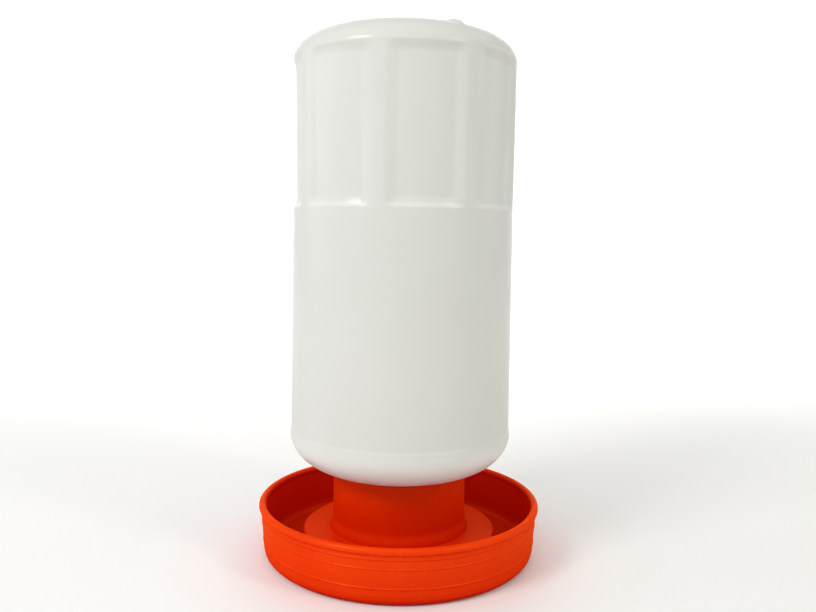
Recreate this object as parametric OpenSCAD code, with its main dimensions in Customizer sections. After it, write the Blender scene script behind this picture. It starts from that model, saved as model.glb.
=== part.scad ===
// Gravity-fed poultry waterer fount: a fluted, blow-moulded water jar standing
// upside down in a shallow round drinking saucer. The neck of the jar screws
// into a collar that rises from the middle of the saucer.
// Millimetres, +Z up. Origin at the middle of the face it stands on; the
// jar axis is the Z axis and the front faces -Y.

/* [Saucer base] */
// Diameter of the saucer over its rim bead
base_d = 201.6; // [195:0.2:210]
// Height of the saucer to the top of its rim bead
base_h = 39; // [36:0.5:45]
// Wall thickness of the saucer
base_wall = 2.4; // [2:0.1:2.8]
// Height of the trough floor above the ground
trough_z = 4; // [3.4:0.1:5]
// Radius of the raised floor in the middle of the saucer
disc_r = 69.5; // [66:0.1:71.5]
// Height of the raised floor above the ground
disc_z = 17.4; // [16:0.1:19]
// Radius of the rim bead section
bead_r = 2.6; // [2.2:0.1:2.9]
// Height of each thin ring standing on the outside wall
ring_h = 0.35; // [0.2:0.05:0.5]

/* [Collar] */
// Outside radius of the threaded collar
collar_r = 47.6; // [46.8:0.1:48.2]
// Height of the collar top above the ground
collar_z = 61; // [59:0.1:61.2]
// Diameter of the water outlet through the collar
outlet_d = 8; // [6:0.5:9]
// Number of water outlets, the first one at the rear
outlets = 1; // [1:1:4]

/* [Jar] */
// Overall height of the assembled fount
jar_top = 366; // [360:0.2:376]
// Radius of the jar at the top edge of the smooth band
jar_r = 77.25; // [75.5:0.05:78]
// Radius of the jar at its lower band
jar_low_r = 78.65; // [78.3:0.05:79.5]
// Wall thickness of the jar
jar_wall = 1.6; // [1.5:0.1:2]
// Height of the step between the grip and the smooth band
step_z = 247; // [238:1:256]
// Depth of the grip panels at the step
panel_deep = 2.2; // [1.6:0.1:2.6]
// Depth of the grip panels at their upper end
panel_shallow = 0.9; // [0.6:0.1:1.4]
// Number of grip ribs
ribs = 8; // [6:1:10]
// Direction of the first grip rib, degrees from the +X axis
rib_phase = -102; // [-180:1:180]

/* [Neck thread] */
// Outside radius of the neck between the thread ridges
neck_r = 43.05; // [42.9:0.05:43.1]
// Height of a thread ridge above its cylinder
ridge_h = 1.25; // [1:0.05:1.3]
// Rise of the thread for each full turn
pitch = 5.08; // [5:0.02:6]
// Number of turns of each thread
turns = 1.5; // [1.25:0.25:1.5]
// Thickness of the sealing ring under the mouth
seal_t = 2; // [1.6:0.1:2.4]

/* [Hidden] */
// Saucer
bead_c = base_d/2 - bead_r;      // radius of the bead centre line
bead_z = base_h - bead_r;        // height of the bead centre line
wall_top = bead_c + 1.0;         // outside wall just under the bead
wall_low = wall_top - 1.85;      // outside wall just above the corner
corner_r = 6.6;                  // outside corner
fillet_r = corner_r - base_wall; // outer corner of the trough
foot_r = wall_low - corner_r - 0.2;
foot_in = foot_r - 5.4;          // inner edge of the foot
floor_t = base_wall + 0.2;
under_z = trough_z - floor_t;    // underside of the trough
ring_zs = [12.4, base_h*0.643, base_h*0.81];

// Collar and seat
ledge_z = 33.5;                  // top of the seat ledge
bore_r = neck_r + 1.75;          // collar bore at the thread root
well_r = bore_r - 1.1;           // bore below the ledge
neck_in = neck_r - 2.25;
ledge_r = neck_in - 0.8;         // inner edge of the ledge
outlet_gap = 0.6;                // outlet above the raised floor

// Jar
mouth_z = ledge_z + seal_t;      // plane of the jar mouth
shoulder_z = 88;                 // where the lower shoulder begins to curve
shoulder_drop = 26.5;
shoulder_c = 40;                 // radius its curve is centred on
label_z = 91.5;                  // lower edge of the smooth band
crease_z = jar_top - 17;         // crease above the grip
grip_top = crease_z - 8.5;       // upper end of the grip panels
dome_drop = 20.4;
crown_r = 45;                    // radius of the ring round the sunk crown
crown_run = 17;                  // width of the slope inside that ring
crown_drop = 4.2;                // drop of that slope
crown_sink = 5;                  // depth of the crown at the axis

// Thread
thread_z = 46.5;                 // start of the neck thread
per_turn = 48;                   // stations in one turn
root_w = 2.3;                    // ridge width at its root
crest_w = 1.0;                   // ridge width at its crest
ridge_sink = 0.5;                // ridge root buried in its cylinder
taper_n = 8;                     // stations over which each end fades
min_fade = 0.08;

jar_c = [0.88, 0.88, 0.84];
base_c = [0.88, 0.18, 0.04];
seal_c = [0.13, 0.13, 0.14];

function arc(x, z, radius, start, end, steps) =
  [for (i = [0:steps])
    let (angle = start + (end - start)*i/steps)
    [x + radius*cos(angle), z + radius*sin(angle)]];

// sloping outside wall of the saucer, and a thin ring standing on it
function wall_x(z) =
  wall_low + (wall_top - wall_low)*(z - corner_r)/(base_h - 5 - corner_r);
function wall_ring(z) = [
  [wall_x(z - 0.7), z - 0.7],
  [wall_x(z) + ring_h, z - 0.3],
  [wall_x(z) + ring_h, z + 0.3],
  [wall_x(z + 0.7), z + 0.7]];

// section of the saucer, walked from the axis under the floor to the rim and back
function base_section() = concat(
  // underside of the raised floor and trough, then the foot and outer corner
  [[0, disc_z - floor_t], [disc_r - 3.4, disc_z - floor_t],
   [disc_r - 1.6, under_z + 3.2], [disc_r - 0.2, under_z],
   [foot_in - 1.2, under_z], [foot_in, 0]],
  arc(foot_r, corner_r, corner_r, -90, -3, 14),
  // outside wall and rim bead
  [for (z = ring_zs) for (point = wall_ring(z)) point],
  arc(bead_c, bead_z, bead_r, -67, 232, 26),
  // inside wall, trough and rise to the raised floor
  [[bead_c - 3.1, trough_z + fillet_r + 0.6]],
  arc(bead_c - 3.2 - fillet_r, trough_z + fillet_r, fillet_r, 0, -90, 12),
  arc(disc_r + 4.6, trough_z + 2.5, 2.5, -90, -172, 6),
  arc(disc_r - 1.8, disc_z - 1.8, 1.8, 6, 90, 7),
  // foot, outside and lip of the collar
  [[collar_r + 4.2, disc_z]],
  arc(collar_r + 3.8, disc_z + 1.2, 1.2, -90, -170, 5),
  arc(collar_r + 1.5, disc_z + 1.2, 1.1, 0, 90, 5),
  [[collar_r + 0.35, disc_z + 3.0], [collar_r, collar_z - 1.2]],
  arc(collar_r - 0.7, collar_z - 0.7, 0.7, 0, 90, 4),
  // bore, seat ledge and the well under it
  [[bore_r + 0.6, collar_z], [bore_r, collar_z - 1.2], [bore_r, ledge_z],
   [ledge_r, ledge_z], [ledge_r, ledge_z - 2.5],
   [well_r, ledge_z - 6.4], [well_r, disc_z + 1.5]],
  arc(well_r - 1.5, disc_z + 1.5, 1.5, 0, -90, 4),
  [[0, disc_z]]);

// In the jar functions and modules, inset is the distance inside the outer
// skin: 0 draws the outside, jar_wall the hollow.

// rounded edge of the crown, from the crease up to the top ring
function dome(inset) =
  let (start = asin((crease_z - jar_top + dome_drop)/dome_drop) + 0.6*inset,
       reach = jar_r + 0.45 - crown_r - inset)
  [for (i = [0:16])
    let (angle = start + (90 - start)*i/16)
    [crown_r + reach*cos(angle),
     jar_top - dome_drop + (dome_drop - inset)*sin(angle)]];

// elliptical lower shoulder, from the neck out to the lower band
function shoulder(inset, neck) =
  let (reach = jar_low_r - shoulder_c - inset,
       start = -acos((neck - shoulder_c)/reach))
  [for (i = [0:16])
    let (angle = start - start*i/16)
    [shoulder_c + reach*cos(angle), shoulder_z + (shoulder_drop - inset)*sin(angle)]];

// section of the jar through the grip panels; the hollow runs below the mouth
function jar_section(inset) =
  let (hollow = inset > 0,
       neck = hollow ? neck_in : neck_r,
       end_z = hollow ? mouth_z - 2 : mouth_z,
       low = jar_low_r - inset,
       skin = jar_r - inset)
  concat(
    [[0, end_z]],
    hollow ? [[neck, end_z]] : [[neck - 0.8, end_z], [neck, end_z + 0.8]],
    shoulder(inset, neck),
    [[low, label_z - 0.6], [low - 0.55, label_z + 0.7],
     [skin, step_z - 4], [skin, step_z],
     [skin - panel_deep, step_z + 8 - 0.3*inset],
     [skin - panel_shallow, grip_top]],
    dome(inset),
    [for (i = [1:8])
      [crown_r - crown_run*i/8, jar_top - inset - crown_drop*(1 - cos(180*i/8))/2]],
    [[0, jar_top - inset - crown_sink]]);

// wedge along one grip rib on the +X side, narrowing outwards
module rib_wedge(inset) {
  half = 3.4 - 0.5*inset;        // half width at the skin
  skin = jar_r - 0.05 - inset;
  flare = 2.9;                   // gain in half width for each mm inwards
  inward = 9;
  outward = 0.8;
  translate([0, 0, step_z - 3])
    linear_extrude(crease_z - step_z + 6)
      polygon([[skin - inward, half + inward*flare],
               [skin + outward, half - outward*flare],
               [skin + outward, -half + outward*flare],
               [skin - inward, -half - inward*flare]]);
}

module jar_body(inset) rotate_extrude($fn = 180) polygon(jar_section(inset));

// each rib is a band round the jar, cut to its wedge
module jar_ribs(inset) {
  skin = jar_r - inset;
  root = jar_r - 8;
  top = crease_z - 0.4*inset;
  for (i = [0:ribs - 1])
    intersection() {
      rotate_extrude($fn = 180)
        polygon([[root, step_z - 1.5], [skin - 0.5, step_z - 1.5], [skin, step_z],
                 [skin, top - 2], [skin - 0.4, top + 1], [root, top + 1]]);
      rotate([0, 0, rib_phase + i*360/ribs]) rib_wedge(inset);
    }
}

// one helical thread ridge on a cylinder; side = 1 stands outwards, -1 inwards
module ridge(radius, side, start_z) {
  n = round(turns*per_turn);
  points = [for (i = [0:n])
    let (angle = 360*i/per_turn,
         z = start_z + pitch*i/per_turn,
         fade = max(min_fade, min(1, i/taper_n, (n - i)/taper_n)),
         root = radius - side*ridge_sink,
         crest = radius + side*ridge_h*fade,
         half = crest_w/2*fade)
    for (p = [[root, z - root_w/2], [crest, z - half],
              [crest, z + half], [root, z + root_w/2]])
      [p[0]*cos(angle), p[0]*sin(angle), p[1]]];

  // two triangles, wound to face out of the solid for either side
  function quad(a, b, c, d) =
    side > 0 ? [[a, b, c], [a, c, d]] : [[a, c, b], [a, d, c]];

  polyhedron(points, concat(
    [for (i = [0:n - 1]) for (k = [0:3])
      let (a = 4*i + k, b = 4*i + (k + 1)%4)
      for (face = quad(a, b, b + 4, a + 4)) face],
    quad(3, 2, 1, 0),
    quad(4*n, 4*n + 1, 4*n + 2, 4*n + 3)), convexity = 6);
}

module drinker_base() color(base_c) {
  difference() {
    rotate_extrude($fn = 180) polygon(base_section());
    for (i = [0:outlets - 1])
      rotate([0, 0, 90 + i*360/outlets])
        translate([bore_r - 6, 0, disc_z + outlet_d/2 + outlet_gap])
          rotate([0, 90, 0]) cylinder(d = outlet_d, h = 14, $fn = 48);
  }
  // half a pitch above the neck thread
  ridge(bore_r, -1, thread_z + pitch/2);
}

module jar() color(jar_c) {
  difference() {
    union() {
      jar_body(0);
      jar_ribs(0);
    }
    jar_body(jar_wall);
    jar_ribs(jar_wall);
  }
  ridge(neck_r, 1, thread_z);
}

module neck_seal() color(seal_c)
  translate([0, 0, ledge_z]) difference() {
    cylinder(r = bore_r - 0.3, h = seal_t, $fn = 180);
    translate([0, 0, -1]) cylinder(r = neck_in - 0.5, h = seal_t + 2, $fn = 180);
  }

drinker_base();
neck_seal();
jar();
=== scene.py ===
# A drinker fount: a milky blow-moulded jar stands upside down, its neck screwed into the
# collar of a red saucer, with a black sealing ring at its mouth.
# The axis is Z, the saucer stands on z = 0, and the camera looks from -Y towards +Y.
# Shapes are drawn in millimetres and turned into metres when a mesh is made.
import math
from functools import cached_property

import bpy
import numpy as np
from mathutils import Matrix, Vector


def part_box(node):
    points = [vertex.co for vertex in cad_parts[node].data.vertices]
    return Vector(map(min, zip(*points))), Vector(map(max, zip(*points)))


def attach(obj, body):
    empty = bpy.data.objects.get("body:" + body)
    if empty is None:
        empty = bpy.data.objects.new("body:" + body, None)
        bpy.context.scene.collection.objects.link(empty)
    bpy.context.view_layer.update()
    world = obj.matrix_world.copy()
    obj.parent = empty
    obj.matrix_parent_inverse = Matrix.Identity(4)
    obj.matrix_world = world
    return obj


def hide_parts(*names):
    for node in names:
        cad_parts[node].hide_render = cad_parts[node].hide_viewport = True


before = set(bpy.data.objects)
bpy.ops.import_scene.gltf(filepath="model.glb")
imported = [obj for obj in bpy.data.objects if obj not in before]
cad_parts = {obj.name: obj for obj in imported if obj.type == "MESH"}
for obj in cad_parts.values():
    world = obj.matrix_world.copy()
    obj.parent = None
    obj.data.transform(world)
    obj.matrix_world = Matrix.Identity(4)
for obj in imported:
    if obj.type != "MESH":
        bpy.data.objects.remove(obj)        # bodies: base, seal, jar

MM = 0.001
TURN = 2 * math.pi

# ---------------------------------------------------------------- places from the CAD boxes
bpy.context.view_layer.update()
jar_lo, jar_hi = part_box("jar")
base_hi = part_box("drinker_base")[1]
seal_lo, seal_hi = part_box("neck_seal")
TOP = jar_hi.z / MM              # top ring of the jar's crown
MOUTH = jar_lo.z / MM            # mouth of the upside-down jar
COLLAR_TOP = base_hi.z / MM
BASE_R = base_hi.x / MM          # outside of the rim bead
SEAL_LOW, SEAL_HIGH = seal_lo.z / MM, seal_hi.z / MM
SEAL_R = seal_hi.x / MM

# neck and thread, shared by the jar, the collar and the seal
NECK_R, NECK_IN = 43.05, 40.8
BORE = NECK_R + 1.75             # inside of the collar
THREAD_HEIGHT, THREAD_PITCH, THREAD_TURNS = 1.25, 5.08, 1.5
THREAD_Z = 46.5                  # start of the jar's thread
THREAD_STEPS = 96                # per turn
THREAD_FADE = 14.0               # steps over which the ridge runs out at each end


# ---------------------------------------------------------------- outlines, as (radius, z) points
def smooth(x):
    x = np.clip(x, 0.0, 1.0)
    return x * x * (3 - 2 * x)


def ease(x, rounding):
    """0 to 1 in a straight ramp whose two corners are rounded."""
    def ramp(s):
        bend = (s + rounding) ** 2 / (4 * rounding)
        return np.where(s < -rounding, 0.0, np.where(s > rounding, s, bend))
    x = np.asarray(x, float)
    return np.clip(ramp(x) - ramp(x - 1.0), 0.0, 1.0)


def arc(mid_r, mid_z, radius, start, end, count, radius_z=None):
    """Circular arc between two angles in degrees, or elliptical if radius_z is given."""
    angles = [math.radians(start + (end - start) * i / count) for i in range(count + 1)]
    return [(mid_r + radius * math.cos(angle), mid_z + (radius_z or radius) * math.sin(angle))
            for angle in angles]


def line(start, end, step):
    n = max(1, int(math.ceil(math.dist(start, end) / step)))
    return [(start[0] + (end[0] - start[0]) * i / n, start[1] + (end[1] - start[1]) * i / n)
            for i in range(n + 1)]


def chain(*parts):
    """Join outlines, leaving out points that repeat the one before."""
    points = []
    for part in parts:
        for point in part:
            if not points or math.dist(points[-1], point) > 1e-4:
                points.append(tuple(point))
    return points


# ---------------------------------------------------------------- meshes
def vertex_places(mesh):
    flat = np.zeros(len(mesh.vertices) * 3)
    mesh.vertices.foreach_get("co", flat)
    return flat.reshape(-1, 3)


def shade(mesh, sharp):
    """Smooth shading, with edges steeper than sharp degrees kept hard."""
    mesh.polygons.foreach_set("use_smooth", [True] * len(mesh.polygons))
    if sharp:
        mesh.set_sharp_from_angle(angle=math.radians(sharp))


def make(name, verts, faces, sharp):
    mesh = bpy.data.meshes.new(name)
    mesh.from_pydata([(x * MM, y * MM, z * MM) for x, y, z in verts], [], faces)
    mesh.validate()
    ob = bpy.data.objects.new(name, mesh)
    bpy.context.scene.collection.objects.link(ob)
    # normals point outwards: flip them if the signed volume is negative
    mesh.calc_loop_triangles()
    corners = np.zeros(len(mesh.loop_triangles) * 3, int)
    mesh.loop_triangles.foreach_get("vertices", corners)
    tris = vertex_places(mesh)[corners.reshape(-1, 3)]
    if np.einsum("ij,ij->i", tris[:, 0], np.cross(tris[:, 1], tris[:, 2])).sum() < 0:
        mesh.flip_normals()
    shade(mesh, sharp)
    mesh.update()
    return ob


def revolve(name, rows, thetas, shift, sharp):
    """Closed skin from rows of (radius, z); a row on the axis is a pole.

    shift(radius, z, theta, row index) gives the new radius and z of a row.
    """
    verts, index = [], []
    n = len(thetas)
    for k, (radius, z) in enumerate(rows):
        start = len(verts)
        if radius < 1e-6:
            index.append([start])
            verts.append((0.0, 0.0, z))
            continue
        radii, heights = shift(np.full(n, float(radius)), np.full(n, float(z)), thetas, k)
        verts.extend(zip(radii * np.cos(thetas), radii * np.sin(thetas), heights))
        index.append(list(range(start, start + n)))
    faces = []
    for a, b in zip(index[:-1], index[1:]):
        for i in range(n):
            j = (i + 1) % n
            if len(a) == 1:
                faces.append((a[0], b[i], b[j]))
            elif len(b) == 1:
                faces.append((a[i], b[0], a[j]))
            else:
                faces.append((a[i], b[i], b[j], a[j]))
    return make(name, verts, faces, sharp)


def tube_faces(spans, size, total):
    """Quads between neighbouring sections of size points; the last wraps to the first."""
    return [(i * size + k, i * size + (k + 1) % size,
             ((i + 1) * size + (k + 1) % size) % total, ((i + 1) * size + k) % total)
            for i in range(spans) for k in range(size)]


# ridge section: (height above the cylinder, place along the axis in mm);
# positive heights are fractions of THREAD_HEIGHT, negative ones are mm
THREAD_SECTION = [
    (-0.5, -1.15), (0.0, -0.98), (0.25, -0.86), (0.75, -0.62), (0.95, -0.48), (1.0, -0.32),
    (1.0, 0.32), (0.95, 0.48), (0.75, 0.62), (0.25, 0.86), (0.0, 0.98), (-0.5, 1.15)]


def thread(name, radius, side, start_z):
    """A rounded helical ridge on a cylinder: side 1 stands outwards, -1 inwards."""
    n = int(THREAD_TURNS * THREAD_STEPS)
    size = len(THREAD_SECTION)
    verts = []
    for i in range(n + 1):
        angle = TURN * i / THREAD_STEPS
        z = start_z + THREAD_PITCH * i / THREAD_STEPS
        fade = float(smooth(min(i, n - i) / THREAD_FADE)) * 0.97 + 0.03
        for height, along in THREAD_SECTION:
            reach = radius + side * (height * THREAD_HEIGHT * fade if height > 0 else height)
            verts.append((reach * math.cos(angle), reach * math.sin(angle),
                          z + along * (fade if height > 0.5 else 1.0)))
    faces = tube_faces(n, size, len(verts))
    faces.append(tuple(range(size - 1, -1, -1)))
    faces.append(tuple(range(n * size, n * size + size)))
    return make(name, verts, faces, sharp=50)


# ---------------------------------------------------------------- the jar
R_TOP, R_LOW = 77.25, 78.65       # at the step, and at the lower band
STEP, CREASE = 247.0, TOP - 17.0  # heights of the grip's lower and upper ends
CROWN_R, DOME_R = 28, 45          # edge of the crown's hollow, and its ring
DOME_DROP = 20.4
SHOULDER_R, SHOULDER_Z, SHOULDER_DROP = 40, 88, 26.5   # centre and drop of the shoulder
BAND = 0.55                       # how far the lower band stands out
WALL = 1.6
RIB_ANGLE, RIB_PITCH = -102.0, 45.0   # one grip rib from +X, and the angle between ribs
PARTING = (-57.0, 123.0)          # mould parting line, through two opposite ribs
# unevenness of the blown wall: amplitude, lobes round the jar, twist per mm, phase
WAVES = ((0.10, 3, 0.031, 0.7), (0.07, 5, -0.047, 2.1), (0.05, 2, 0.083, 0.0),
         (0.035, 9, 0.06, 1.3))


def panel_depth(z):
    """How far the grip panels are let in at height z."""
    rise = ease((z - STEP) / 6.6, 0.03) ** 0.58
    body = 2.4 - 0.8 * (z - (STEP + 8)) / (CREASE - 8.5 - STEP - 8)
    fall = 1 - ease((z - (CREASE - 7.6)) / 6.3, 0.07)
    in_grip = (z > STEP - 1) & (z < CREASE - 0.4)
    return np.where(in_grip, np.clip(body, 0, 2.4) * rise * fall, 0.0)


def rib_mask(theta):
    """1 on a panel, 0 on a rib crest."""
    away = np.degrees(theta) - RIB_ANGLE
    away = np.abs((away + RIB_PITCH / 2) % RIB_PITCH - RIB_PITCH / 2)
    return ease((away - 2.8) / 5.6, 0.06) ** 1.15


def jar_rows(inset):
    """The skin drawn inset inside the outside, from the crown's middle down to the mouth."""
    outside = inset == 0

    def pick(fine, coarse):
        return fine if outside else coarse

    top = TOP - inset
    grip_r, band_r = R_TOP - inset, R_LOW - inset
    label_r = R_LOW - BAND - inset
    n = pick(12, 6)
    crown = chain([(0.0, top - 5.0)],
                  [(CROWN_R * i / n, top - 4.9 + 0.7 * (i / n) ** 2) for i in range(1, n)],
                  [(DOME_R - (DOME_R - CROWN_R) * u, top - 4.2 * (1 - math.cos(math.pi * u)) / 2)
                   for u in np.linspace(1, 0, pick(15, 9))])
    dome_end = math.degrees(math.asin((CREASE - (TOP - DOME_DROP)) / DOME_DROP))
    dome = arc(DOME_R, TOP - DOME_DROP, R_TOP + 0.25 - DOME_R - inset, 90, dome_end,
               pick(34, 12), radius_z=DOME_DROP - inset)
    # the dome turns into the wall over a small radius, which is the crease above the grip
    grip = chain(
        arc(R_TOP + 0.06 - inset - 8, CREASE - 2.21, 8, 15, -9, pick(12, 5)),
        line((R_TOP - 0.10 - inset, CREASE - 4.0), (grip_r, CREASE - 6.5), pick(0.5, 1.5)),
        line((grip_r, CREASE - 6.5), (grip_r, CREASE - 10), pick(0.5, 1.5)),
        line((grip_r, CREASE - 10), (grip_r, STEP + 9), pick(4.0, 10)),
        line((grip_r, STEP + 9), (grip_r, STEP - 2.0), pick(0.45, 1.5)))
    label = chain(
        line((grip_r, STEP - 2.0), (grip_r, STEP - 3), 0.6),
        line((grip_r, STEP - 3), (label_r, 93.1), pick(6.5, 16)),
        [(label_r + BAND * float(ease(u, 0.12)), 92.8 - 1.9 * u)
         for u in np.linspace(-0.1, 1.1, pick(13, 7))],
        line((band_r, 90.6), (band_r, 88.0), 0.6))

    neck_r = pick(NECK_R, NECK_IN)
    fillet = pick(1.3, 0)         # between shoulder and neck, on the outside only
    lip = pick(0.9, 0.6)
    reach = R_LOW - SHOULDER_R - inset
    shoulder_end = -math.degrees(math.acos((neck_r + fillet - SHOULDER_R) / reach))
    shoulder = arc(SHOULDER_R, SHOULDER_Z, reach, 0, shoulder_end, pick(30, 15),
                   radius_z=SHOULDER_DROP - inset)
    if outside:
        neck_z = shoulder[-1][1] - fillet
        neck = chain(arc(neck_r + fillet, neck_z, fillet, 90, 180, 7),
                     line((neck_r, neck_z), (neck_r, MOUTH + lip), 1.2),
                     arc(neck_r - lip, MOUTH + lip, lip, 0, -90, 6))
    else:
        neck = chain(line(shoulder[-1], (neck_r, MOUTH + lip), 2.5),
                     arc(neck_r + lip, MOUTH + lip, lip, 180, 270, 5))
    return chain(crown, dome, grip, label, shoulder, neck)


OUTER_ROWS = jar_rows(0.0)


def jar_shift(radius, z, theta, row):
    """Panels, parting line, pinched seam across the crown, and the uneven blown wall."""
    inner = row >= len(OUTER_ROWS)
    radius = radius - panel_depth(z + (0.5 if inner else 0.0)) * rib_mask(theta)
    x, y = radius * np.cos(theta), radius * np.sin(theta)
    wave = sum(size * np.sin(lobes * theta + twist * z + phase)
               for size, lobes, twist, phase in WAVES)
    row_z = float(z[0])
    amount = float(smooth((row_z - 63) / 18.0)) * float(smooth((TOP + 2 - row_z) / 24.0))
    radius = radius - (0.11 + wave * 0.45) * amount
    if not inner:
        # a fine raised line where the two mould halves meet
        if row_z < TOP - 1.0:
            for angle in PARTING:
                away = np.abs((np.degrees(theta) - angle + 180) % 360 - 180)
                away = away * math.pi / 180 * radius
                line_height = 0.07 * np.exp(-(away / 0.42) ** 2)
                radius = radius + line_height * float(smooth((row_z - 61.8) / 3.0))
        if row_z > TOP - 8:
            # the pinched seam runs right across the crown and stops on the dome
            angle = math.radians(PARTING[0])
            away = np.abs(-np.sin(angle) * x + np.cos(angle) * y)
            z = z + 1.8 * np.exp(-(away / 1.5) ** 2) * smooth((67.5 - radius) / 3.5)
    return radius, z


def jar_thetas():
    """Columns of the mesh, closest on the flanks of the ribs and at the parting line."""
    fan = [0.0, 1.0] + list(np.arange(1.9, 9.6, 0.95)) + [12.1, 14.7, 17.3, 19.9]
    fan += [-away for away in fan[1:]] + [22.5]
    columns = {round((RIB_ANGLE + 45 * i + away) % 360, 4) for i in range(8) for away in fan}
    for angle in PARTING:
        columns |= {round((angle + away) % 360, 4) for away in np.arange(-1.6, 1.61, 0.2)}
    return np.radians(sorted(columns))


def add_painted_shading(mesh):
    """Attribute of painted shade (above 0) and painted light (below 0) that darkens or lightens
    the plastic.
    """
    x, y, z = (vertex_places(mesh) / MM).T
    theta = np.arctan2(y, x)
    panel = rib_mask(theta)
    # painted shade: a darker band where the panels run out under the crease, on the face that
    # slopes down away from the light
    low_edge = CREASE - 9.6 + 1.3 * np.sin(5 * theta + 0.6) + 0.6 * np.sin(11 * theta)
    painted_shading = smooth((z - low_edge) / 5.5) * smooth((CREASE - 0.6 - z) / 3.2) * panel
    # painted highlight along the step, and painted light round the lower shoulder, both
    # lightening the plastic
    painted_step_highlight = np.exp(-((z - (STEP + 1.3)) / 1.5) ** 2) * (0.15 + 0.85 * panel)
    painted_shading = painted_shading - 0.58 * painted_step_highlight - smooth((94.0 - z) / 18.0)
    attribute = mesh.attributes.new("painted_shading", "FLOAT", "POINT")
    attribute.data.foreach_set("value", painted_shading.astype(np.float32))


jar = revolve("jar_shell", OUTER_ROWS + jar_rows(WALL)[::-1], jar_thetas(), jar_shift,
              sharp=None)
add_painted_shading(jar.data)
jar_thread = thread("jar_neck_thread", NECK_R, side=1, start_z=THREAD_Z)

# ---------------------------------------------------------------- the saucer
BEAD = 2.6                        # radius of the rim bead
BEAD_R, BEAD_Z = BASE_R - BEAD, 39.0 - BEAD
WALL_HIGH = BEAD_R + 1.0          # outside wall's radius at the top and at the bottom
WALL_LOW = WALL_HIGH - 1.85
CORNER = 6.6                      # radius between wall and foot
FOOT = WALL_LOW - CORNER - 0.2
FOOT_IN = FOOT - 5.4
DISC_R, DISC_Z = 69.5, 17.4       # raised floor inside the trough
SHEET = 2.6                       # thickness of the floors
TROUGH = 4.0
UNDER = TROUGH - SHEET
COLLAR_R = 47.6
OUTLET_R, OUTLET_LENGTH = 4.0, 14
WALL_RINGS = ((12.4, 0.33), (25.1, 0.30), (31.6, 0.36))   # z, height above the wall


def outer_wall():
    """The outside wall with its thin standing rings."""
    points = []
    z = CORNER + 0.2
    while z < 33.8:
        near = min(abs(z - ring_z) for ring_z, _ in WALL_RINGS)
        ring = sum(height * math.exp(-(((z - ring_z) / 0.42) ** 4))
                   for ring_z, height in WALL_RINGS)
        wall = WALL_LOW + (WALL_HIGH - WALL_LOW) * (z - CORNER) / (34.0 - CORNER)
        points.append((wall + ring, z))
        z += 0.12 if near < 1.1 else 0.7
    return points


def base_rows():
    """From the middle of the underside out round the rim and back to the middle on top."""
    underside = chain(
        [(0.0, DISC_Z - SHEET)],
        line((3, DISC_Z - SHEET), (DISC_R - 4.4, DISC_Z - SHEET), 5),
        arc(DISC_R - 4.2, DISC_Z - 3.6, 1.0, 90, 8, 5),
        line((DISC_R - 3.1, DISC_Z - 4.2), (DISC_R - 1.0, UNDER + 1.2), 2.5),
        arc(DISC_R, UNDER + 1.0, 1.0, 172, 270, 5)[:-1],
        line((DISC_R + 0.3, UNDER), (FOOT_IN - 1.4, UNDER), 3),
        arc(FOOT_IN - 0.2, UNDER - 1.0, 1.0, 130, 180, 3),
        [(FOOT_IN + 0.2, 0.0)],
        line((FOOT_IN + 1.0, 0.0), (FOOT, 0.0), 1.5))
    rim = chain(
        arc(FOOT, CORNER, CORNER, -88, -4, 20),
        outer_wall(),
        arc(BEAD_R, BEAD_Z, BEAD, -67, 232, 40),
        line((BEAD_R - 1.7, BEAD_Z - 2.4), (BEAD_R - 3.1, CORNER + 1.8), 2.0))
    trough = chain(
        arc(BEAD_R - 7.4, TROUGH + 4.2, 4.2, 0, -90, 12),
        line((BEAD_R - 7.7, TROUGH), (DISC_R + 5.0, TROUGH), 1.6),
        arc(DISC_R + 4.6, TROUGH + 2.5, 2.5, -90, -172, 9),
        line((DISC_R + 2.0, TROUGH + 3.0), (DISC_R, DISC_Z - 1.7), 2.0),
        arc(DISC_R - 1.8, DISC_Z - 1.8, 1.8, 6, 90, 10),
        line((DISC_R - 2.4, DISC_Z), (COLLAR_R + 4.4, DISC_Z), 1.6))
    # the collar stands on a soft flare that meets the raised floor in a small cove
    collar = chain(
        arc(COLLAR_R + 3.5, DISC_Z + 1.1, 1.1, -90, -174, 7),
        [(COLLAR_R + 2.35 - 2.15 * float(smooth(u)), DISC_Z + 1.6 + 8.4 * u)
         for u in np.linspace(0.0, 1.0, 16)],
        line((COLLAR_R + 0.19, DISC_Z + 11.0), (COLLAR_R, COLLAR_TOP - 1.0), 1.6),
        arc(COLLAR_R - 0.8, COLLAR_TOP - 0.8, 0.8, 0, 90, 6))
    # the bore narrows to a ledge under the seal, then opens to the floor
    bore = chain(
        [(BORE + 0.7, COLLAR_TOP), (BORE + 0.35, COLLAR_TOP - 0.3), (BORE, COLLAR_TOP - 1.2)],
        line((BORE, COLLAR_TOP - 1.4), (BORE, SEAL_LOW + 0.1), 2.0),
        [(BORE - 0.1, SEAL_LOW)],
        line((BORE - 0.6, SEAL_LOW), (NECK_IN - 0.4, SEAL_LOW), 1.2),
        [(NECK_IN - 0.8, SEAL_LOW - 0.4), (NECK_IN - 0.8, SEAL_LOW - 2.3)],
        line((NECK_IN - 0.6, SEAL_LOW - 2.7), (BORE - 1.2, SEAL_LOW - 6.5), 1.5),
        line((BORE - 1.1, SEAL_LOW - 6.9), (BORE - 1.1, DISC_Z + 1.5), 2.0),
        arc(BORE - 2.6, DISC_Z + 1.5, 1.5, 0, -90, 6),
        line((BORE - 4, DISC_Z), (4, DISC_Z), 4),
        [(0.0, DISC_Z)])
    return chain(underside, rim, trough, collar, bore)


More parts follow.
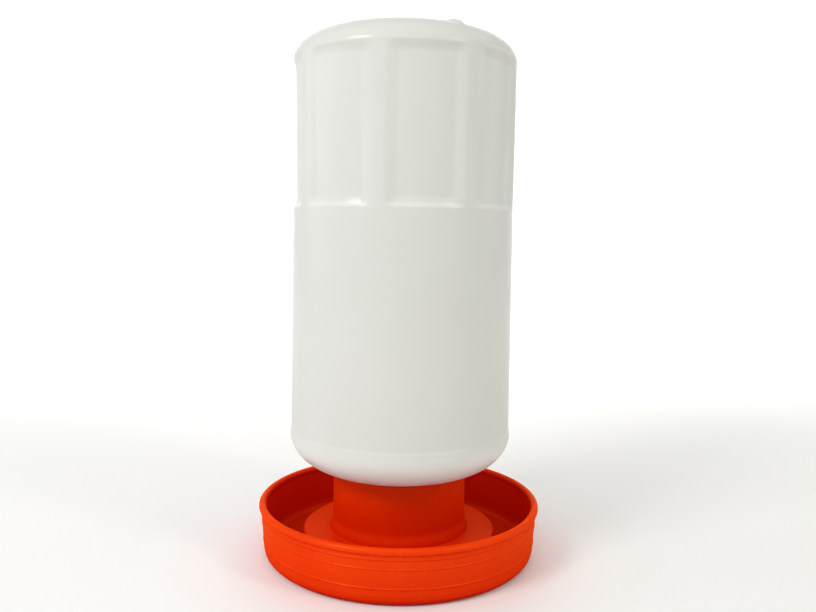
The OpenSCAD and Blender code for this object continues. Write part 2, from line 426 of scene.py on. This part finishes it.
def base_shift(radius, z, theta, _row):
    """The slight warp of a thin moulded saucer, well under a millimetre."""
    amount = float(smooth((radius[0] - 74) / 20.0)) * float(smooth(z[0] / 30.0))
    z = z - 0.18 * amount * (0.5 + 0.5 * np.cos(2 * theta + 0.6))
    radius = radius - 0.15 * amount * (0.5 + 0.5 * np.cos(3 * theta - 0.4))
    return radius, z


def cut_outlet(ob):
    """The water outlet through the rear (+Y) of the collar."""
    bpy.ops.mesh.primitive_cylinder_add(
        vertices=64, radius=OUTLET_R * MM, depth=OUTLET_LENGTH * MM,
        location=(0, (BORE + 1) * MM, (DISC_Z + 4.6) * MM), rotation=(math.pi / 2, 0, 0))
    cutter = bpy.context.object
    cut = ob.modifiers.new("outlet", "BOOLEAN")
    cut.operation, cut.solver, cut.object = "DIFFERENCE", "EXACT", cutter
    bpy.context.view_layer.objects.active = ob
    bpy.ops.object.modifier_apply(modifier="outlet")
    bpy.data.objects.remove(cutter)


BASE_SHARP = 38
base = revolve("saucer_base", base_rows(), np.radians(np.arange(0, 360, 1.5)), base_shift,
               sharp=BASE_SHARP)
cut_outlet(base)
shade(base.data, BASE_SHARP)
base_thread = thread("collar_thread", BORE, side=-1, start_z=THREAD_Z + THREAD_PITCH / 2)


# ---------------------------------------------------------------- the seal
def build_seal(count=240):
    """A flat ring with rounded edges and a fine groove near the outside of its top."""
    inside, edge = NECK_IN - 0.5, 0.5
    low, high = SEAL_LOW + edge, SEAL_HIGH - edge
    # the outline closes on its first point, which is then dropped
    rows = chain(
        arc(inside + edge, low, edge, 180, 270, 5),
        line((inside + 0.6, SEAL_LOW), (SEAL_R - 0.6, SEAL_LOW), 0.8),
        arc(SEAL_R - edge, low, edge, -90, 0, 5),
        arc(SEAL_R - edge, high, edge, 0, 90, 5),
        [(SEAL_R - 1.1, SEAL_HIGH), (SEAL_R - 1.35, SEAL_HIGH - 0.18), (SEAL_R - 1.6, SEAL_HIGH)],
        line((SEAL_R - 2.0, SEAL_HIGH), (inside + 0.6, SEAL_HIGH), 0.8),
        arc(inside + edge, high, edge, 90, 180, 5),
        [(inside, low)])[:-1]
    verts = []
    for i in range(count):
        angle = TURN * i / count
        verts += [(radius * math.cos(angle), radius * math.sin(angle), z) for radius, z in rows]
    return make("sealing_ring", verts, tube_faces(count, len(rows), len(verts)), sharp=50)


seal = build_seal()


# ---------------------------------------------------------------- materials
class Shader:
    """A material's node tree; any input takes either a value or another node's output."""

    def __init__(self, name):
        self.material = bpy.data.materials.new(name)
        self.material.use_nodes = True
        self.tree = self.material.node_tree
        self.tree.nodes.clear()

    def add(self, kind, inputs=None, **settings):
        node = self.tree.nodes.new("ShaderNode" + kind)
        for key, value in settings.items():
            setattr(node, key, value)
        for key, value in (inputs or {}).items():
            if isinstance(value, bpy.types.NodeSocket):
                self.tree.links.new(value, node.inputs[key])
            else:
                node.inputs[key].default_value = value
        return node

    @cached_property
    def coords(self):
        return self.add("TexCoord").outputs["Object"]

    def noise(self, scale, detail=3.0, rough=0.5, vector=None):
        return self.add("TexNoise", {"Scale": scale, "Detail": detail, "Roughness": rough,
                                     "Vector": vector or self.coords}).outputs["Fac"]

    def math(self, operation, *values):
        return self.add("Math", dict(enumerate(values)), operation=operation).outputs[0]

    def mix(self, factor, first, second):
        """Colour mix; 6 and 7 are the node's colour inputs, 2 its colour output."""
        return self.add("Mix", {0: factor, 6: first, 7: second}, data_type="RGBA").outputs[2]

    def remap(self, value, target, source=(0.3, 0.7)):
        return self.add("MapRange", {
            "Value": value, "From Min": source[0], "From Max": source[1],
            "To Min": target[0], "To Max": target[1]}).outputs[0]

    def bump(self, height, distance, strength, **normal):
        return self.add("Bump", {"Distance": distance, "Strength": strength,
                                 "Height": height, **normal}).outputs[0]

    def mix_shader(self, factor, first, second):
        return self.add("MixShader", {0: factor, 1: first.outputs[0], 2: second.outputs[0]})

    def finish(self, surface):
        self.add("OutputMaterial", {"Surface": surface.outputs[0]})
        return self.material


def milky():
    """Natural blow-moulded polyethylene: milky, a little greenish, with a soft gloss."""
    s = shader = Shader("milky_polyethylene")
    soft = shader.noise(scale=9.0, detail=2.0)
    fine = shader.noise(scale=260.0, detail=4.0, rough=0.6)
    stretch = s.add("Mapping", {"Vector": s.coords, "Scale": (1.0, 1.0, 0.22)})
    streak = shader.noise(scale=60.0, rough=0.55, vector=stretch.outputs["Vector"])
    tint = shader.mix(shader.remap(soft, target=(0.0, 1.0)),
                      first=(0.82, 0.83, 0.795, 1), second=(0.80, 0.81, 0.768, 1))
    streaks = shader.remap(streak, source=(0.40, 0.75), target=(0.0, 0.12))
    tint = shader.mix(streaks, tint, second=(0.86, 0.865, 0.845, 1))
    # painted shading: positive values darken the plastic as painted shade, negative values
    # lighten it as painted light
    painted_shading = shader.add("Attribute", attribute_name="painted_shading").outputs["Fac"]
    for gain, colour in ((0.50, (0.71, 0.72, 0.64, 1)), (-1.0, (0.97, 0.965, 0.94, 1))):
        tint = shader.mix(shader.math("MULTIPLY", painted_shading, gain), tint, colour)
    # the gloss follows the slow waviness of a blown wall
    wavy = shader.noise(scale=48.0, detail=2.0, rough=0.4)
    body = shader.add("BsdfPrincipled", {
        "Base Color": tint,
        "Roughness": 0.5,
        "Specular IOR Level": 0.05,
        "Subsurface Weight": 0.08,
        "Subsurface Radius": (1.0, 0.95, 0.8),
        "Subsurface Scale": 0.001,
        "Coat Normal": shader.bump(wavy, distance=0.00005, strength=0.3),
        "Coat Weight": 0.66,
        "Coat IOR": 1.42,
        "Coat Roughness": shader.remap(fine, target=(0.17, 0.20))})
    glow = shader.add("BsdfTranslucent", {"Color": (0.93, 0.935, 0.87, 1)})
    return shader.finish(shader.mix_shader(0.22, body, glow))


def red_plastic():
    """Injection-moulded polyethylene: orange-red, satin, with fine lathe lines."""
    shader = Shader("red_polyethylene")
    calc = shader.math
    soft = shader.noise(scale=22.0)
    fine = shader.noise(scale=420.0, rough=0.6)
    colour = shader.mix(shader.remap(soft, target=(0.0, 1.0)),
                        first=(0.88, 0.046, 0.0009, 1), second=(0.81, 0.036, 0.0007, 1))
    # painted shade: deeper red in the hollows and under the jar, from an ambient occlusion node
    painted_occlusion = shader.add("AmbientOcclusion", {"Distance": 0.07}).outputs["AO"]
    colour = shader.mix(shader.remap(painted_occlusion, source=(0.08, 0.76), target=(1.0, 0.0)),
                        colour, second=(0.56, 0.003, 0.0001, 1))
    # lathe lines at two spacings, in metres along z + radius, with uneven bands
    x, y, z = shader.add("SeparateXYZ", {0: shader.coords}).outputs
    radius = calc("SQRT", calc("ADD", calc("MULTIPLY", x, x), calc("MULTIPLY", y, y)))
    run = calc("ADD", z, radius)
    lines = calc("SINE", calc("MULTIPLY", run, TURN / 0.00085))
    coarse = calc("SINE", calc("MULTIPLY", run, TURN / 0.0031))
    band = shader.add("CombineXYZ", {"Z": calc("MULTIPLY", run, 900.0)}).outputs[0]
    uneven = shader.noise(scale=1.0, detail=2.0, vector=band)
    groove = calc("ADD", calc("MULTIPLY", lines, 0.5),
                  calc("ADD", calc("MULTIPLY", coarse, 0.35), uneven))
    normal = shader.bump(groove, distance=0.00003, strength=0.5)
    normal = shader.bump(fine, distance=0.00002, strength=0.4, Normal=normal)
    body = shader.add("BsdfPrincipled", {
        "Base Color": colour,
        "Roughness": shader.remap(fine, target=(0.30, 0.42)),
        "IOR": 1.5,
        "Specular IOR Level": 0.0,
        "Subsurface Weight": 0.22,
        "Subsurface Radius": (1.0, 0.12, 0.03),
        "Subsurface Scale": 0.003,
        "Normal": normal})
    # a warm satin sheen, stronger towards the edges and cut back in the hollows by the painted
    # shade of the occlusion node
    gloss = shader.add("BsdfGlossy", {
        "Color": (1.0, 0.40, 0.15, 1),
        "Roughness": shader.remap(fine, target=(0.26, 0.36)),
        "Normal": normal})
    edge = calc("POWER", shader.add("LayerWeight").outputs["Facing"], 4.0)
    sheen = calc("ADD", calc("MULTIPLY", edge, 0.16), 0.038)
    openness = shader.remap(painted_occlusion, source=(0.15, 0.85), target=(0.1, 1.0))
    return shader.finish(shader.mix_shader(calc("MULTIPLY", sheen, openness), body, gloss))


def rubber():
    """Black rubber with a fine grain."""
    shader = Shader("seal_rubber_black")
    grain = shader.noise(scale=900.0, rough=0.6)
    soft = shader.noise(scale=60.0, detail=2.0)
    return shader.finish(shader.add("BsdfPrincipled", {
        "Base Color": shader.mix(soft, first=(0.018, 0.018, 0.020, 1),
                                 second=(0.035, 0.034, 0.036, 1)),
        "Roughness": shader.remap(grain, target=(0.55, 0.75)),
        "Normal": shader.bump(grain, distance=0.00008, strength=0.5)}))


def floor_paint():
    shader = Shader("floor_pale")
    return shader.finish(shader.add("BsdfPrincipled", {
        "Base Color": (0.90, 0.90, 0.895, 1), "Roughness": 0.7, "Specular IOR Level": 0.2}))


jar_mat, red_mat, seal_mat = milky(), red_plastic(), rubber()
# object, its material, the body it rides on, its slot
PIECES = ((jar, jar_mat, "jar", "milky_plastic"),
          (jar_thread, jar_mat, "jar", "milky_plastic"),
          (base, red_mat, "base", "red_plastic"),
          (base_thread, red_mat, "base", "red_plastic"),
          (seal, seal_mat, "seal", "seal_rubber"))
for ob, mat, _, _ in PIECES:
    ob.data.materials.append(mat)

for node, mat in (("jar", jar_mat), ("drinker_base", red_mat), ("neck_seal", seal_mat)):
    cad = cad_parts[node]
    if cad.material_slots:
        for material_slot in cad.material_slots:
            material_slot.material = mat
    else:
        cad.data.materials.append(mat)

for ob, _, body, slot in PIECES:
    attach(ob, body)
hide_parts("jar")
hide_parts("drinker_base")
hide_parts("neck_seal")


# ---------------------------------------------------------------- the stage, in metres
def floor():
    """A plain pale sweep: flat floor that curves up into a backdrop far behind."""
    bend_y, bend_r = 1.6, 0.9
    outline = [(-3.0, 0.0), (bend_y, 0.0)]
    outline += [(bend_y + bend_r * math.sin(angle), bend_r - bend_r * math.cos(angle))
                for angle in np.linspace(0.1, math.pi / 2, 14)]
    outline.append((bend_y + bend_r, 3.2))
    verts = [(x, y, z) for y, z in outline for x in (-4.0, 4.0)]
    faces = [(2 * i, 2 * i + 1, 2 * i + 3, 2 * i + 2) for i in range(len(outline) - 1)]
    mesh = bpy.data.meshes.new("floor")
    mesh.from_pydata(verts, [], faces)
    shade(mesh, sharp=None)
    ob = bpy.data.objects.new("floor", mesh)
    bpy.context.scene.collection.objects.link(ob)
    ob.location.z = -0.0001
    ob.data.materials.append(floor_paint())
    return ob


def area(name, place, size, power, aim=(0, 0, 0.22), colour=(1, 1, 1)):
    light = bpy.data.lights.new(name, "AREA")
    light.shape, light.size, light.size_y = "RECTANGLE", size[0], size[1]
    light.energy, light.color = power, colour
    ob = bpy.data.objects.new(name, light)
    bpy.context.scene.collection.objects.link(ob)
    ob.location = place
    ob.rotation_euler = (Vector(aim) - Vector(place)).to_track_quat("-Z", "Y").to_euler()
    return light


floor()

world = bpy.data.worlds.new("studio")
bpy.context.scene.world = world
world.use_nodes = True
background = world.node_tree.nodes["Background"]
background.inputs["Color"].default_value = (1.0, 1.0, 1.0, 1)
background.inputs["Strength"].default_value = 0.515

area("key", place=(-1.05, -0.92, 1.16), aim=(0, 0, 0.20), size=(0.55, 0.38), power=10.2,
     colour=(1.0, 0.995, 0.985))
area("front", place=(-0.32, -1.20, 1.18), size=(2.0, 0.5), power=3.5)
area("side", place=(-1.60, 0.10, 0.55), size=(0.9, 0.9), power=2.6)
area("window", place=(1.15, -0.80, 1.12), aim=(0, 0, 0.20), size=(0.26, 0.50), power=4.0,
     colour=(1.0, 0.985, 0.80))
area("rim", place=(1.50, 0.30, 0.70), size=(0.5, 0.9), power=1.6, colour=(1.0, 0.99, 0.78))
area("top", place=(-0.25, -0.15, 1.8), aim=(0, 0, 0), size=(1.3, 1.3), power=1.3)
backdrop = area("backdrop", place=(0.0, 0.6, 2.2), aim=(0, 2.4, 0.6), size=(2.4, 1.2),
                power=36.0)
# the backdrop light falls behind the fount and not on its crown
backdrop.spread = math.radians(116)


# ---------------------------------------------------------------- the camera
def add_camera(place, yaw, pitch, roll, lens):
    """Looks along +Y, turned by yaw to +X, by pitch downwards, then rolled (radians)."""
    forward = Vector((math.sin(yaw) * math.cos(pitch), math.cos(yaw) * math.cos(pitch),
                      -math.sin(pitch)))
    right = Vector((math.cos(yaw), -math.sin(yaw), 0.0))
    up = right.cross(forward)
    rolled_right = right * math.cos(roll) + up * math.sin(roll)
    rolled_up = -right * math.sin(roll) + up * math.cos(roll)
    data = bpy.data.cameras.new("camera")
    data.sensor_width = 36.0
    data.lens = lens
    data.clip_start, data.clip_end = 0.02, 50.0
    camera = bpy.data.objects.new("camera", data)
    bpy.context.scene.collection.objects.link(camera)
    pose = Matrix((rolled_right, rolled_up, -forward)).transposed().to_4x4()
    pose.translation = place
    camera.matrix_world = pose
    bpy.context.scene.camera = camera


add_camera(place=(0.0, -0.5677, 0.2333), yaw=0.0077863418, pitch=0.0966174,
           roll=math.radians(0.9), lens=35.1286765)
bpy.context.scene.view_settings.view_transform = "Standard"
bpy.context.scene.view_settings.look = "None"
